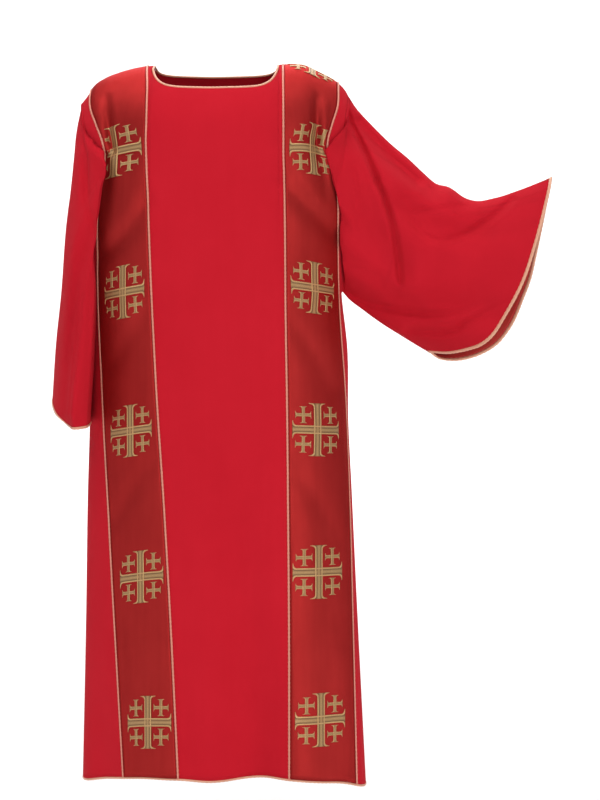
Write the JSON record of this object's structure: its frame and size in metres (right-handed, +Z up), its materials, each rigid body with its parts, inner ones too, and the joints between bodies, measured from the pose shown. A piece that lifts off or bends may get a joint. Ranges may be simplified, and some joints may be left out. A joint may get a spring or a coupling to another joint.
{
  "type": "dalmatic",
  "caption": "Red dalmatic: a long wide-sleeved liturgical tunic with a rounded-square neckline, two satin bands edged in gold cord and embroidered gold crosses, worn over an alb.",
  "frame": {"origin": "between the shoulders, at the height where the neckline meets the shoulder seams", "axes": "+Z up, the wearer faces -Y, and the wearer's right side is at -X"},
  "size_m": [0.909, 0.3585, 1.3362],
  "materials": {
    "red_cloth": "matt plain-woven wool blend",
    "red_satin": "darker red satin with a soft sheen",
    "gold_cord": "twisted metallic-thread cord"
  },
  "bodies": {
    "root": {"front": "red_cloth", "back": "red_cloth", "sleeve_right": "red_cloth", "sleeve_left": "red_cloth", "band_right": "red_satin", "band_left": "red_satin", "cuff_facing_right": "red_satin", "cuff_facing_left": "red_satin", "cord_right_outer": "gold_cord", "cord_right_inner": "gold_cord", "cord_left_outer": "gold_cord", "cord_left_inner": "gold_cord", "neck_cord": "gold_cord", "hem_cord": "gold_cord", "cuff_cord_right": "gold_cord", "cuff_cord_left": "gold_cord"}
  },
  "joints": []
}
